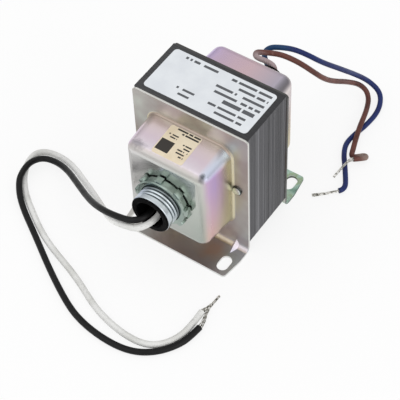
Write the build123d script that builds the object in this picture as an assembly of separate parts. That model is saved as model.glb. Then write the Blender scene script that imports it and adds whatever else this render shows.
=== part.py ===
from build123d import *
from math import radians, tan
import os

os.makedirs("parts", exist_ok=True)

# Millimetres, +Z up. +X is the way the hub points, +Y is the right side seen from the front.
# The origin is the centre of the four foot slots, on the plane the feet stand on.

# Core: interleaved E and I sheets, legs along Y, stacked along X
core_width = 63.5
core_height = 76.2
core_stack = 32.5
core_lift = 6.2
centre_leg = 25.4
outer_leg = 12.7
yoke = 12.7
packet_count = 13

# Rivets through the two side yokes, close beside the boxes, clinched at the front
rivet_shank = 3.2
rivet_head = 4.5
rivet_head_height = 1.2
rivet_cup = 2.0
rivet_cup_depth = 1.6
rivet_clearance = 0.1
rivet_seat_gap = 0.1

# Drawn end covers
sheet = 1.2
cover_overlap = 0.45
cover_drop = 0.4
flange_corner = 2.0
bend_inside = 2.8
foot_length = 19.65
foot_straight = 5.0
foot_taper = 1.6
foot_corner = 1.6
slot_toe_margin = 6.9
slot_side_margin = 5.8
slot_width = 5.8
slot_length = 9.2
dart_reach = 6.2
dart_rise = 4.2
dart_width = 5.0
dart_inset = 1.2
box_width = 47.6
box_height = 55.0
box_depth = 21.75
box_corner = 7.0
box_edge = 5.0
box_root = 1.4
box_draft = 4.0

# Conduit hub with its locknut and liner
hub_thread = 21.3
hub_bore = 17.0
hub_shoulder = 26.0
hub_shoulder_thickness = 2.2
hub_reach = 11.6
hub_chamfer = 0.7
hub_clearance = 0.1
nut_body = 26.8
nut_lug_circle = 29.8
nut_lug_width = 4.2
nut_lug_count = 8
nut_thickness = 4.4
nut_bevel = 0.8
nut_clearance = 0.05
liner_lip = 20.9
liner_lip_height = 1.4
liner_depth = 9.0
liner_bore = 14.8
liner_clearance = 0.05

# Snap bushing in the rear cover
snap_y = 8.0
snap_rise = 15.2
snap_flange = 14.0
snap_flange_height = 2.4
snap_neck = 11.6
snap_neck_length = 3.4
snap_barb = 0.5
snap_barb_length = 1.6
snap_bore = 9.2
snap_clearance = 0.05

# Labels
label_length = 57.5
label_width = 27.8
label_corner = 2.0
label_thickness = 0.15
badge_length = 17.4
badge_width = 17.2
badge_gap = 0.3
badge_corner = 1.0
badge_thickness = 0.12

# Split former and the two coils
former_wall = 1.2
former_fit = 0.3
former_end_gap = 0.3
former_window_gap = 0.5
former_box_gap = 1.4
former_rim_stand = 1.2
former_corner = 2.0
coil_corner = 4.0
tape_thickness = 0.5

# Splices and magnet-wire tails
splice_size = 4.2
splice_length = 13.0
primary_splice_base = 14.5
secondary_splice_base = 6.4
splice_edge = 0.5
primary_splice_y = (-9.5, -3.5)
secondary_splice_y = (5.0, 11.0)
tail_size = 0.8
tail_run = 6.0

# Leads
supply_lead_size = 3.3
lead_size = 2.8
strand_size = 1.3

# Values that follow from the sizes above
core_mid = core_lift + core_height / 2
core_top = core_lift + core_height
core_face = core_stack / 2
window_height = (core_height - centre_leg) / 2 - outer_leg
window_length = core_width - 2 * yoke
rivet_y = box_width / 2 + rivet_head / 2 + rivet_seat_gap
i_middle = (core_width - yoke) / 2
packet = core_stack / packet_count
cover_face = core_face + sheet
cover_width = core_width + 2 * cover_overlap
flange_top = core_top - cover_drop
bend_x = cover_face + bend_inside
bend_z = sheet + bend_inside
foot_reach = cover_face + foot_length
slot_x = foot_reach - slot_toe_margin
slot_y = cover_width / 2 - slot_side_margin
dart_y = slot_y - dart_inset
box_front = cover_face + box_depth
box_inside = box_front - sheet
hub_mouth = box_front + hub_reach
snap_z = core_mid + snap_rise
tube_x = core_stack + 2 * former_fit + 2 * former_wall
tube_z = centre_leg + 2 * former_fit + 2 * former_wall
window_room = centre_leg + 2 * window_height - 2 * former_window_gap
box_room = box_height - 2 * sheet - 2 * former_box_gap
rim_z = min(window_room, box_room)
coil_build = (rim_z - tube_z) / 2 - tape_thickness - former_rim_stand
coil_x = tube_x + 2 * coil_build
coil_z = tube_z + 2 * coil_build
tape_x = coil_x + 2 * tape_thickness
tape_z = coil_z + 2 * tape_thickness
rim_x = tape_x + 2 * former_rim_stand
drawn_in = (rim_x / 2 - core_face) * tan(radians(box_draft))
box_side_room = box_width - 2 * (sheet + former_box_gap + drawn_in)
former_length = min(window_length - 2 * former_end_gap, box_side_room)
coil_face = tape_x / 2
coil_length = (former_length - 3 * former_wall) / 2
coil_y = (former_wall + coil_length) / 2
splice_x = coil_face + splice_size / 2
primary_splice_low = core_mid + tape_z / 2 - primary_splice_base
secondary_splice_low = core_mid - tape_z / 2 + secondary_splice_base
secondary_splice_high = secondary_splice_low + splice_length


def plate(x, outline, thickness):
    """A flat outline in Y and Z, extruded towards +X from x."""
    return extrude(Plane.YZ.offset(x) * outline, thickness)


def ring(x, length, outside, bore, y, z):
    """A round sleeve along X."""
    outline = Pos(y, z) * (Circle(outside / 2) - Circle(bore / 2))
    return plate(x, outline, length)


def front_edges(solid):
    """The edges round the face that lies farthest towards +X."""
    return solid.faces().sort_by(Axis.X)[-1].edges()


def save(node, shape):
    export_step(shape, f"parts/{node}.step")
    print(node, "volume", round(shape.volume, 1))


# Core sheets

def e_outline():
    """An E sheet with its back at -Y."""
    blank = Pos(-yoke / 2, core_mid) * Rectangle(core_width - yoke, core_height)
    for side in (-1, 1):
        z = core_mid + side * (centre_leg + window_height) / 2
        blank -= Pos(0, z) * Rectangle(window_length, window_height)
    return blank - Pos(-rivet_y, core_mid) * Circle(rivet_shank / 2 + rivet_clearance)


def i_outline():
    """An I sheet that closes the E at +Y."""
    blank = Pos(i_middle, core_mid) * Rectangle(yoke, core_height)
    return blank - Pos(rivet_y, core_mid) * Circle(rivet_shank / 2 + rivet_clearance)


def core_stack_of(outline):
    """Packets of sheets, turned end for end from one packet to the next."""
    solids = []
    for i in range(packet_count):
        slab = plate(-core_face + i * packet, outline, packet)
        if i % 2:
            slab = mirror(slab, Plane.XZ)
        solids.append(slab.solid())
    return Compound(solids)


def rivet(y):
    """A through-rivet along X, domed at the back and clinched round a cup at the front."""
    head = rivet_head / 2
    dome = (head**2 + rivet_head_height**2) / (2 * rivet_head_height)
    tip = cover_face + rivet_head_height
    outline = Polyline((0, 0), (0, rivet_shank / 2), (cover_face, rivet_shank / 2), (cover_face, head))
    outline += RadiusArc((cover_face, head), (tip, 0), dome)
    outline += Line((tip, 0), (0, 0))
    half = revolve(make_face(outline), Axis.X)
    body = half + mirror(half, Plane.YZ)
    body -= plate(tip - rivet_cup_depth, Circle(rivet_cup / 2), rivet_cup_depth)
    return Pos(0, y, core_mid) * body.solid()


# Covers

def box_solid(grow):
    """The drawn box from the core's face, drafted and grown on every side by one amount."""
    width = box_width + 2 * grow
    height = box_height + 2 * grow
    outline = Pos(0, core_mid) * RectangleRounded(width, height, box_corner + grow)
    root = Plane.YZ.offset(core_face) * outline
    block = extrude(root, box_front + grow - core_face, taper=box_draft)
    return fillet(front_edges(block), box_edge + grow)


def dart(y):
    """A pressed wedge across the inside of the bend."""
    middle = Polyline(
        (cover_face, y, sheet),
        (cover_face, y, sheet + dart_rise),
        (cover_face + dart_reach, y, sheet),
        close=True,
    )
    side = make_face(middle)
    wedge = loft([side, Vertex(cover_face, y + dart_width / 2, sheet)], ruled=True)
    return wedge + loft([side, Vertex(cover_face, y - dart_width / 2, sheet)], ruled=True)


def foot():
    """The bent foot, drawn in at its sides and slotted along X."""
    half = cover_width / 2
    taper_from = bend_x + foot_straight
    outline = Polyline(
        (bend_x, -half),
        (taper_from, -half),
        (foot_reach, foot_taper - half),
        (foot_reach, half - foot_taper),
        (taper_from, half),
        (bend_x, half),
        close=True,
    )
    slab = extrude(make_face(outline), sheet)
    slab = fillet(slab.edges().filter_by(Axis.Z).sort_by(Axis.X)[-2:], foot_corner)
    for side in (-1, 1):
        slot = Pos(slot_x, side * slot_y) * SlotOverall(slot_length, slot_width)
        slab -= extrude(slot, sheet)
    return slab


def bend():
    """The quarter round between flange and foot."""
    sweep_ring = Circle(bend_inside + sheet) - Circle(bend_inside)
    corner = bend_inside + sheet
    quarter = sweep_ring & Pos(-corner / 2, -corner / 2) * Rectangle(corner, corner)
    return extrude(Plane.XZ * Pos(bend_x, bend_z) * quarter, cover_width / 2, both=True)


def root_edges(shell, x, width, height):
    """The edges of a box outline that lie in the plane at x."""
    near = 0.01
    edges = shell.edges().filter_by_position(Axis.X, x - near, x + near)
    edges = edges.filter_by_position(Axis.Y, -width / 2 - near, width / 2 + near)
    return edges.filter_by_position(
        Axis.Z, core_mid - height / 2 - near, core_mid + height / 2 + near
    )


def cover_shell():
    """Flange, box, bend and foot in one sheet, before its holes."""
    height = flange_top - bend_z
    flange = plate(core_face, Pos(0, bend_z + height / 2) * Rectangle(cover_width, height), sheet)
    top_corners = flange.edges().filter_by(Axis.X).sort_by(Axis.Z)[-2:]
    shell = fillet(top_corners, flange_corner) + box_solid(0)
    shell = fillet(root_edges(shell, cover_face, box_width, box_height), box_root)
    shell -= box_solid(-sheet)
    inner_width = box_width - 2 * sheet
    inner_height = box_height - 2 * sheet
    shell = fillet(root_edges(shell, core_face, inner_width, inner_height), box_root)
    shell += bend()
    shell += foot()
    for side in (-1, 1):
        pressed = dart(side * dart_y)
        shell += pressed
        shell -= Pos(-sheet, 0, -sheet) * pressed
    for side in (-1, 1):
        hole = Pos(side * rivet_y, core_mid) * Circle(rivet_shank / 2 + rivet_clearance)
        seat = Pos(side * rivet_y, core_mid) * Circle(rivet_head / 2 + rivet_seat_gap)
        shell -= plate(core_face, hole, sheet)
        shell -= plate(cover_face, seat, box_root)
    return shell


def front_cover(shell):
    hole = Pos(0, core_mid) * Circle(hub_thread / 2 + hub_clearance)
    return (shell - plate(box_inside, hole, sheet)).solid()


def rear_cover(shell):
    hole = Pos(snap_y, snap_z) * Circle(snap_neck / 2 + snap_clearance)
    return (mirror(shell, Plane.YZ) - plate(-box_front, hole, sheet)).solid()


# Hub, locknut and bushings

def hub_nipple():
    """A threaded tube, drawn at its major diameter, with a shoulder inside the cover."""
    inner = box_inside - hub_shoulder_thickness
    tube = ring(inner, hub_mouth - inner, hub_thread, hub_bore, 0, core_mid)
    mouth = tube.edges().filter_by(GeomType.CIRCLE).group_by(Axis.X)[-1]
    tube = chamfer(mouth.sort_by(SortBy.RADIUS)[-1:], hub_chamfer)
    shoulder = ring(inner, hub_shoulder_thickness, hub_shoulder, hub_bore, 0, core_mid)
    return (tube + shoulder).solid()


def hub_locknut():
    """A round nut with narrow driving lugs and a bevelled front."""
    body = plate(box_front, Pos(0, core_mid) * Circle(nut_body / 2), nut_thickness)
    body = chamfer(front_edges(body), nut_bevel)
    lug_length = nut_lug_circle / 2
    for i in range(nut_lug_count):
        turn = Rot(0, 0, 360 * (i + 0.5) / nut_lug_count)
        lug = Pos(0, core_mid) * turn * Pos(lug_length / 2, 0) * Rectangle(lug_length, nut_lug_width)
        body += plate(box_front, lug, nut_thickness - nut_bevel)
    bore = Pos(0, core_mid) * Circle(hub_thread / 2 + nut_clearance)
    return (body - plate(box_front, bore, nut_thickness)).solid()


def hub_bushing():
    """A liner pushed into the hub, with a rounded lip on its mouth."""
    barrel_size = hub_bore - 2 * liner_clearance
    barrel = ring(hub_mouth - liner_depth, liner_depth, barrel_size, liner_bore, 0, core_mid)
    lip = ring(hub_mouth, liner_lip_height, liner_lip, liner_bore, 0, core_mid)
    rim = lip.edges().filter_by(GeomType.CIRCLE).group_by(Axis.X)[-1]
    lip = fillet(rim, liner_lip_height / 2)
    return (barrel + lip).solid()


def rear_bushing():
    """A snap bushing: rounded flange outside, neck through the sheet."""
    flange_x = -box_front - snap_flange_height
    flange = ring(flange_x, snap_flange_height, snap_flange, snap_bore, snap_y, snap_z)
    rim = flange.edges().filter_by(GeomType.CIRCLE).group_by(Axis.X)[0]
    flange = fillet(rim, snap_flange_height / 3)
    neck = ring(-box_front, snap_neck_length, snap_neck, snap_bore, snap_y, snap_z)
    barb = Pos(-box_inside + snap_clearance + snap_barb_length / 2, snap_y, snap_z) * Rot(0, 90, 0) * Cone(
        snap_neck / 2 + snap_barb, snap_neck / 2, snap_barb_length
    )
    hollow = plate(-box_front, Pos(snap_y, snap_z) * Circle(snap_bore / 2), box_depth)
    return (flange + neck + barb - hollow).solid()


# Labels

def rating_label():
    outline = Pos(0, 0, core_top) * RectangleRounded(label_width, label_length, label_corner)
    return extrude(outline, label_thickness).solid()


def approval_label():
    """A thin label that follows the box's top and its rounded front edge."""
    start = cover_face + box_root + badge_gap
    skin = box_solid(badge_thickness) - box_solid(0)
    middle = start + badge_length / 2
    outline = Pos(middle, 0, core_mid) * RectangleRounded(badge_length, badge_width, badge_corner)
    return (skin & extrude(outline, box_height)).solid()


# Former, coils and splices

def along_y(outline, y, length):
    """An outline in X and Z about the coil's axis, extruded along Y about y."""
    return extrude(Plane.XZ.offset(-y) * Pos(0, core_mid) * outline, length / 2, both=True)


def bobbin():
    """A square tube round the middle leg with three rims."""
    bore = Rectangle(tube_x - 2 * former_wall, tube_z - 2 * former_wall)
    former = along_y(Rectangle(tube_x, tube_z), 0, former_length)
    rim = RectangleRounded(rim_x, rim_z, former_corner)
    step = (former_length - former_wall) / 2
    for y in (-step, 0, step):
        former += along_y(rim, y, former_wall)
    return (former - along_y(bore, 0, former_length)).solid()


def winding(side):
    turns = RectangleRounded(coil_x, coil_z, coil_corner) - Rectangle(tube_x, tube_z)
    return along_y(turns, side * coil_y, coil_length).solid()


def tape(side):
    outside = RectangleRounded(tape_x, tape_z, coil_corner + tape_thickness)
    wrap = outside - RectangleRounded(coil_x, coil_z, coil_corner)
    return along_y(wrap, side * coil_y, coil_length).solid()


def splices(x, low, places):
    """Sleeved splices that stand against a coil."""
    solids = []
    for y in places:
        sleeve = extrude(Pos(x, y, low) * Circle(splice_size / 2), splice_length)
        sleeve = chamfer(sleeve.edges().filter_by(GeomType.CIRCLE), splice_edge)
        solids.append(sleeve.solid())
    return Compound(solids)


def tails(x, start, side, places):
    """Magnet wires from the splices round the coil's edge to its outer turns."""
    toward = 1 if x < 0 else -1
    over = core_mid + side * (tape_z / 2 + tail_size / 2)
    ends = []
    for y in places:
        points = [
            (x, y, start),
            (x, y, over),
            (x + toward * tail_run, y, over),
        ]
        ends.append(tube_along(points, tail_size).solid())
    return Compound(ends)


# Leads: straight runs joined by tangent arcs

def corner_radii(points):
    """The largest easy radius at each corner of a route."""
    radii = []
    for a, b, c in zip(points, points[1:], points[2:]):
        arriving = Vector(b) - Vector(a)
        leaving = Vector(c) - Vector(b)
        turn = arriving.get_angle(leaving)
        shorter = min(arriving.length, leaving.length)
        radii.append(0.45 * shorter / tan(radians(turn / 2)))
    return radii


def tube_along(points, size):
    path = FilletPolyline(*points, radius=corner_radii(points))
    start = Plane(origin=points[0], z_dir=Vector(points[1]) - Vector(points[0]))
    return sweep(start * Circle(size / 2), path=path)


def save_lead(node, points, size):
    radii = corner_radii(points)
    print(node, "tightest radius", round(min(radii), 2), "over size", round(min(radii) / size, 2))
    save(node, tube_along(points, size).solid())


black_route = [
    (splice_x, primary_splice_y[0], primary_splice_low),
    (splice_x, primary_splice_y[0], 48.8),
    (31.2, -8.2, 43.9),
    (35.4, -5.6, 41.2),
    (42.2, -3.5, 40.2),
    (51.4, -2.6, 40.5),
    (56.4, -7.2, 39.4),
    (56.9, -17.05, 37.3),
    (55.15, -26.45, 33.7),
    (49.4, -38.85, 26.1),
    (38.25, -55.8, 15.75),
    (28.9, -70.15, 7.6),
    (24.9, -80.9, 3.6),
    (26.65, -88.55, 3.9),
    (33.15, -91.7, 5.25),
    (40.55, -90.95, 5.6),
    (46.95, -88.65, 5.15),
    (55.5, -80.9, 2.2),
    (67.9, -61.55, 1.65),
    (81.65, -40.95, 1.65),
    (92.5, -22.05, 1.65),
    (96.45, -10.7, 1.65),
    (98.3, 2.1, 1.65),
    (98.0, 13.4, 1.65),
    (95.3, 22.2, 1.65),
    (89.6, 29.55, 1.65),
    (82.1, 34.65, 1.65),
    (75.6, 36.9, 1.65),
    (68.2, 37.6, 1.65),
]
black_strip = [
    (68.2, 37.6, 1.65),
    (66.0, 37.81, 1.65),
    (60.9, 36.04, 1.3),
    (57.0, 35.1, 1.1),
    (52.8, 34.9, 0.9),
    (47.5, 35.1, 0.7),
]
white_route = [
    (splice_x, primary_splice_y[1], primary_splice_low),
    (splice_x, primary_splice_y[1], 48.6),
    (31.4, -2.4, 43.6),
    (36.0, -0.4, 40.6),
    (42.6, 0.7, 39.4),
    (49.4, 1.0, 39.0),
    (54.5, -1.0, 38.3),
    (57.8, -4.5, 37.1),
    (57.65, -10.05, 35.25),
    (56.25, -20.05, 30.35),
    (49.5, -30.5, 24.5),
    (41.15, -42.1, 17.45),
    (30.85, -57.95, 8.7),
    (23.2, -70.6, 3.65),
    (19.95, -81.15, 1.85),
    (20.7, -90.15, 1.65),
    (24.65, -95.3, 1.65),
    (31.65, -95.1, 1.65),
    (39.65, -91.3, 1.65),
    (47.0, -85.1, 1.65),
    (52.8, -78.1, 1.65),
    (63.65, -61.8, 1.65),
    (69.4, -49.85, 1.65),
    (76.6, -29.75, 1.65),
    (85.65, -12.1, 1.65),
    (89.2, -0.9, 1.65),
    (91.2, 11.4, 1.65),
    (90.3, 22.0, 1.65),
    (85.6, 28.5, 1.65),
    (78.5, 32.5, 1.65),
    (70.35, 33.85, 1.65),
    (60.3, 33.5, 1.65),
]
white_strip = [
    (60.3, 33.5, 1.65),
    (58.1, 33.42, 1.65),
    (55.6, 33.2, 1.2),
    (53.0, 33.3, 0.8),
]
blue_route = [
    (-splice_x, secondary_splice_y[0], secondary_splice_high),
    (-splice_x, secondary_splice_y[0], 46.0),
    (-31.0, 5.4, 52.0),
    (-34.0, 5.9, 57.0),
    (-38.6, 6.5, 58.2),
    (-44.0, 5.6, 57.4),
    (-48.6, 0.8, 56.4),
    (-53.4, -5.0, 57.4),
    (-57.05, -3.85, 59.6),
    (-60.0, 1.4, 59.9),
    (-63.95, 6.6, 57.95),
    (-68.05, 12.2, 53.4),
    (-74.1, 17.1, 45.5),
    (-86.25, 21.25, 32.4),
    (-101.05, 23.85, 15.85),
    (-107.95, 27.5, 6.95),
    (-108.3, 33.45, 2.65),
    (-103.2, 37.4, 1.5),
    (-95.0, 39.75, 1.4),
    (-84.6, 39.2, 1.4),
    (-76.0, 37.4, 1.4),
    (-68.05, 36.7, 1.4),
    (-60.8, 39.75, 1.4),
    (-54.6, 44.2, 1.4),
    (-48.0, 48.5, 1.4),
    (-43.5, 51.2, 1.4),
    (-40.2, 51.1, 1.4),
    (-38.85, 49.9, 1.4),
]
blue_strip = [
    (-38.85, 49.9, 1.4),
    (-37.2, 48.44, 1.4),
    (-33.2, 44.4, 1.0),
    (-29.4, 39.9, 0.7),
]
brown_route = [
    (-splice_x, secondary_splice_y[1], secondary_splice_high),
    (-splice_x, secondary_splice_y[1], 46.4),
    (-31.2, 10.8, 53.0),
    (-35.2, 10.4, 58.2),
    (-40.4, 9.8, 61.4),
    (-44.2, 7.6, 63.4),
    (-44.6, 3.6, 64.4),
    (-43.6, -1.8, 64.8),
    (-44.8, -4.2, 64.5),
    (-47.4, -5.0, 63.9),
    (-49.5, -3.3, 62.9),
    (-51.7, 0.05, 62.4),
    (-54.35, 4.55, 61.5),
    (-56.4, 9.6, 59.5),
    (-58.4, 14.6, 56.55),
    (-62.3, 18.65, 50.25),
    (-68.05, 21.5, 41.8),
    (-77.05, 22.0, 31.95),
    (-90.75, 22.8, 19.8),
    (-101.05, 24.55, 9.85),
    (-103.7, 27.95, 4.55),
    (-100.6, 31.4, 2.6),
    (-94.15, 34.1, 2.8),
    (-87.15, 36.4, 4.55),
    (-79.35, 38.3, 4.95),
    (-71.75, 40.3, 3.0),
    (-66.85, 41.9, 1.7),
    (-62.97, 43.16, 1.4),
    (-62.33, 44.16, 1.4),
    (-62.46, 45.34, 1.4),
    (-65.7, 48.5, 1.4),
    (-65.8, 49.8, 1.8),
    (-64.9, 50.7, 2.4),
    (-63.6, 50.65, 2.8),
    (-59.3, 46.4, 3.6),
]
brown_strip = [
    (-59.3, 46.4, 3.6),
    (-58.17, 45.29, 3.81),
    (-54.3, 44.5, 3.9),
    (-45.7, 42.9, 0.75),
]

shell = cover_shell()
save("front_cover", front_cover(shell))
save("rear_cover", rear_cover(shell))
save("e_laminations", core_stack_of(e_outline()))
save("i_laminations", core_stack_of(i_outline()))
save("core_rivets", Compound([rivet(-rivet_y), rivet(rivet_y)]))
save("hub_nipple", hub_nipple())
save("hub_locknut", hub_locknut())
save("hub_bushing", hub_bushing())
save("rear_bushing", rear_bushing())
save("rating_label", rating_label())
save("approval_label", approval_label())
save("bobbin", bobbin())
save("primary_winding", winding(-1))
save("secondary_winding", winding(1))
save("primary_tape", tape(-1))
save("secondary_tape", tape(1))
save("primary_splices", splices(splice_x, primary_splice_low, primary_splice_y))
save("secondary_splices", splices(-splice_x, secondary_splice_low, secondary_splice_y))
save("primary_tails", tails(splice_x, primary_splice_low + splice_length, 1, primary_splice_y))
save("secondary_tails", tails(-splice_x, secondary_splice_low, -1, secondary_splice_y))
save_lead("black_lead", black_route, supply_lead_size)
save_lead("white_lead", white_route, supply_lead_size)
save_lead("blue_lead", blue_route, lead_size)
save_lead("brown_lead", brown_route, lead_size)
save_lead("black_strands", black_strip, strand_size)
save_lead("white_strands", white_strip, strand_size)
save_lead("blue_strands", blue_strip, strand_size)
save_lead("brown_strands", brown_strip, strand_size)
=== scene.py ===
import math
import random

import bmesh
import bpy
from mathutils import Matrix, Quaternion, Vector


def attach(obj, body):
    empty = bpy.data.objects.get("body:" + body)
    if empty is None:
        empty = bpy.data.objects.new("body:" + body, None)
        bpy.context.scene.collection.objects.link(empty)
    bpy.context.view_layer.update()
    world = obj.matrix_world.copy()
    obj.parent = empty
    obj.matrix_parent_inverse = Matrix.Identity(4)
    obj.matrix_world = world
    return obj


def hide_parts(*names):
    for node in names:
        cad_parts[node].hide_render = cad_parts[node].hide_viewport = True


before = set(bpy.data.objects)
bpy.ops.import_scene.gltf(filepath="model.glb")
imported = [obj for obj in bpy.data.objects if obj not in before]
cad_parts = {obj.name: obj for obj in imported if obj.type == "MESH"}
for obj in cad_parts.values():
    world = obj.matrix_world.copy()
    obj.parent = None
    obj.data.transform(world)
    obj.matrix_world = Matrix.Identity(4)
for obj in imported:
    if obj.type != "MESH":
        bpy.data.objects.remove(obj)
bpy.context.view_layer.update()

mm = 0.001
scene = bpy.context.scene
scene.view_settings.view_transform = "Standard"
random.seed(7)

# Camera, as the photograph was taken
view = {
    "place": (0.3852, 0.27575, 0.5942),
    "target": (0.02104, 0.00667, 0.02761),
    "roll": -2.81,  # degrees
    "lens": 135.0,  # mm
    "sensor": 36.0,
}


def addCamera():
    data = bpy.data.cameras.new("camera")
    data.lens = view["lens"]
    data.sensor_width = view["sensor"]
    eye = bpy.data.objects.new("camera", data)
    aim = Vector(view["target"]) - Vector(view["place"])
    lean = Quaternion((0, 0, 1), math.radians(view["roll"]))
    eye.rotation_mode = "QUATERNION"
    eye.rotation_quaternion = aim.to_track_quat("-Z", "Y") @ lean
    eye.location = view["place"]
    scene.collection.objects.link(eye)
    scene.camera = eye


addCamera()
print("camera set")


# Small helpers for the node trees
def tone(red, green, blue):
    # display values, 0 to 255, as the linear colour a shader takes
    parts = [c / 255 for c in (red, green, blue)]
    return (*[c / 12.92 if c < 0.04045 else ((c + 0.055) / 1.055) ** 2.4 for c in parts], 1.0)


def addNode(tree, kind, inputs=None, **settings):
    node = tree.nodes.new("ShaderNode" + kind)
    for name, value in settings.items():
        setattr(node, name, value)
    for name, value in (inputs or {}).items():
        if isinstance(value, bpy.types.NodeSocket):
            tree.links.new(value, node.inputs[name])
        else:
            node.inputs[name].default_value = value
    return node


def calc(tree, operation, first, second=0.0):
    return addNode(tree, "Math", {0: first, 1: second}, operation=operation).outputs[0]


def spread(tree, value, low, high, newLow=0.0, newHigh=1.0):
    inputs = {"Value": value, "From Min": low, "From Max": high, "To Min": newLow, "To Max": newHigh}
    return addNode(tree, "MapRange", inputs).outputs[0]


def fade(tree, value, start, end, share=1.0):
    return spread(tree, value, start, end, 0.0, share)


def times(tree, product, *factors):
    for factor in factors:
        product = calc(tree, "MULTIPLY", product, factor)
    return product


def within(tree, value, low, high):
    return times(tree, calc(tree, "GREATER_THAN", value, low), calc(tree, "LESS_THAN", value, high))


def sway(tree, noise, width):
    # a noise from 0 to 1, centred on nought
    return times(tree, calc(tree, "SUBTRACT", noise, 0.5), width)


def stretched(tree, place, scale, shift=(0, 0, 0)):
    return addNode(tree, "Mapping", {"Vector": place, "Scale": scale, "Location": shift}).outputs[0]


def inMillimetres(tree, place):
    scaled = stretched(tree, place, (1000, 1000, 1000))
    return scaled, addNode(tree, "SeparateXYZ", {"Vector": scaled}).outputs


def distanceTo(tree, place, center, stretch=(1.0, 1.0, 1.0)):
    away = addNode(tree, "VectorMath", {0: place, 1: center}, operation="SUBTRACT").outputs["Vector"]
    away = addNode(tree, "VectorMath", {0: away, 1: stretch}, operation="MULTIPLY").outputs["Vector"]
    return addNode(tree, "VectorMath", {0: away}, operation="LENGTH").outputs["Value"]


def grain(tree, place, scale, detail=2.0, rough=0.5):
    inputs = {"Vector": place, "Scale": scale, "Detail": detail, "Roughness": rough}
    return addNode(tree, "TexNoise", inputs).outputs["Fac"]


def ramp(tree, factor, stops):
    node = addNode(tree, "ValToRGB", {"Fac": factor})
    while len(node.color_ramp.elements) < len(stops):
        node.color_ramp.elements.new(0.5)
    for element, (at, color) in zip(node.color_ramp.elements, stops):
        element.position = at
        element.color = color
    return node.outputs["Color"]


def mixColors(tree, factor, first, second):
    return addNode(tree, "Mix", {0: factor, 6: first, 7: second}, data_type="RGBA").outputs[2]


def startMaterial(name, metallic=0.0, roughness=0.5):
    material = bpy.data.materials.new(name)
    material.use_nodes = True
    tree = material.node_tree
    shader = tree.nodes["Principled BSDF"]
    shader.inputs["Metallic"].default_value = metallic
    shader.inputs["Roughness"].default_value = roughness
    place = addNode(tree, "TexCoord").outputs["Object"]
    return material, tree, shader, place


def feed(tree, shader, color, roughness=None, height=None, strength=0.2, distance=0.1 * mm):
    tree.links.new(color, shader.inputs["Base Color"])
    if roughness is not None:
        tree.links.new(roughness, shader.inputs["Roughness"])
    if height is not None:
        inputs = {"Height": height, "Strength": strength, "Distance": distance}
        tree.links.new(addNode(tree, "Bump", inputs).outputs["Normal"], shader.inputs["Normal"])


# Small helpers for the meshes
def showPiece(name, data, material, slotName, *nodes):
    data.materials.append(material)
    piece = bpy.data.objects.new(name, data)
    scene.collection.objects.link(piece)
    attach(piece, "root")
    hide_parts(*nodes)
    return piece


def finishMesh(name, bm, sharpAngle=35):
    mesh = bpy.data.meshes.new(name)
    bm.to_mesh(mesh)
    bm.free()
    mesh.shade_smooth()
    mesh.set_sharp_from_angle(angle=math.radians(sharpAngle))
    return mesh


def sharpEdges(bm, degrees):
    return [e for e in bm.edges if e.is_manifold and e.calc_face_angle() > math.radians(degrees)]


def spinChain(bm, profile, center, steps, closed=False):
    # profile holds (x, radius) in mm round an axis along X
    corners = [bm.verts.new((x * mm, center[1], center[2] + r * mm)) for x, r in profile]
    following = corners[1:] + corners[:1] if closed else corners[1:]
    sides = [bm.edges.new(pair) for pair in zip(corners, following)]
    bmesh.ops.spin(bm, geom=corners + sides, cent=center, axis=(1, 0, 0), angle=math.tau,
                   steps=steps, use_merge=True)


def grownVerts(bm, faces):
    grown = bmesh.ops.extrude_face_region(bm, geom=faces)["geom"]
    return [v for v in grown if isinstance(v, bmesh.types.BMVert)]


def closeUp(bm):
    bmesh.ops.remove_doubles(bm, verts=bm.verts, dist=0.002 * mm)
    bmesh.ops.recalc_face_normals(bm, faces=bm.faces)


# Leads: each is one smooth run from its splice inside to the stripped end
insulation = {
    "stiffness": "medium",
    "gloss": 0.22,
    "colors": {  # body, shaded lengths and rubbed spots
        "black": (tone(15, 15, 16), tone(11, 11, 12), tone(40, 40, 42)),
        "white": (tone(228, 228, 226), tone(210, 210, 206), tone(158, 158, 157)),
        "blue": (tone(28, 43, 97), tone(22, 30, 84), tone(50, 64, 116)),
        "brown": (tone(104, 63, 55), tone(76, 43, 38), tone(128, 92, 84)),
    },
    "tintsAndPaintedLight": {  # where a lead looks paler, greener or darker, and how far that reaches, in mm; the white's paler spots and the brown's first are painted light, the blue's dark end painted shade
        "black": [],
        "white": [
            # painted light: paler on the white's hanging lengths, which lie in shade
            ((54.0, -25.0, 27.5), 16.0, tone(250, 250, 248)),
            ((36.0, -54.0, 11.0), 30.0, tone(251, 251, 249)),
        ],
        "blue": [
            ((-55.0, -4.0, 58.5), 14.0, tone(26, 62, 98)),
            # painted shade in the hollow cut end of the blue's insulation
            ((-38.6, 49.7, 1.4), 1.9, tone(13, 15, 44)),
        ],
        "brown": [
            # painted highlight where the brown's loop leaves the cover
            ((-40.5, 2.0, 65.0), 10.5, tone(172, 155, 157)),
            ((-65.4, 49.6, 2.2), 5.0, tone(140, 122, 114)),
        ],
    },
    "tintCore": 0.6,  # share of the reach that has the full tint
    "tintDepth": 0.85,
}

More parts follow.
